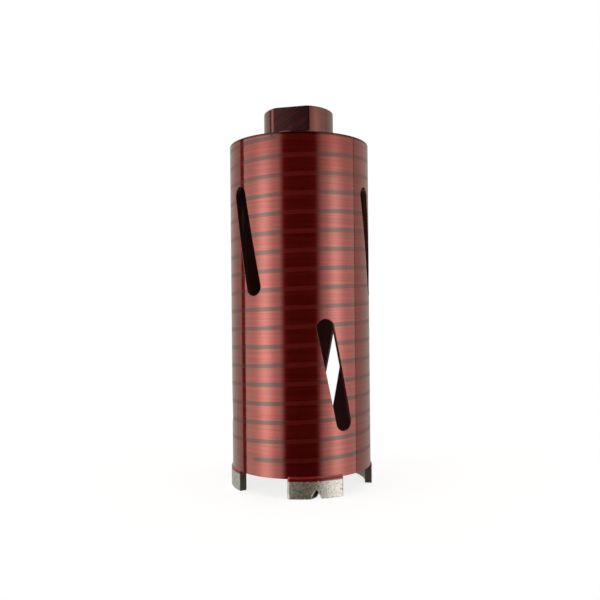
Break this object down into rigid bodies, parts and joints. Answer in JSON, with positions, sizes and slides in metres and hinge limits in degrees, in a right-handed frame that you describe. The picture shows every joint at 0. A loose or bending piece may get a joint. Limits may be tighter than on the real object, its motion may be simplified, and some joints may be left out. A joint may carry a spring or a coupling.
{
  "type": "diamond core bit",
  "caption": "Dry diamond core bit: slotted lacquered steel tube with a threaded, flatted hub on top and sintered diamond segments round the lower rim.",
  "frame": {"origin": "on the axis of rotation, in the plane of the cutting faces, under the middle of the tube", "axes": "+Z along the axis of rotation from the cutting faces to the threaded hub; -Y is the side on which the middle of the first segment lies 10.9 degrees counter-clockwise seen from above"},
  "size_m": [0.065, 0.065, 0.1705],
  "materials": {
    "red_lacquer": "translucent metallic red lacquer over circumferentially brushed steel",
    "hub_lacquer": "thin dark red lacquer over turned and milled steel",
    "sintered_metal": "ground sintered bronze-steel bond with exposed grit and small pits",
    "bare_steel": "oiled bare steel of the thread and the inside"
  },
  "bodies": {
    "root": {"barrel": "red_lacquer", "end_plate": "red_lacquer", "hub": "hub_lacquer", "segment_1": "sintered_metal", "segment_2": "sintered_metal", "segment_3": "sintered_metal", "segment_4": "sintered_metal"}
  },
  "joints": []
}
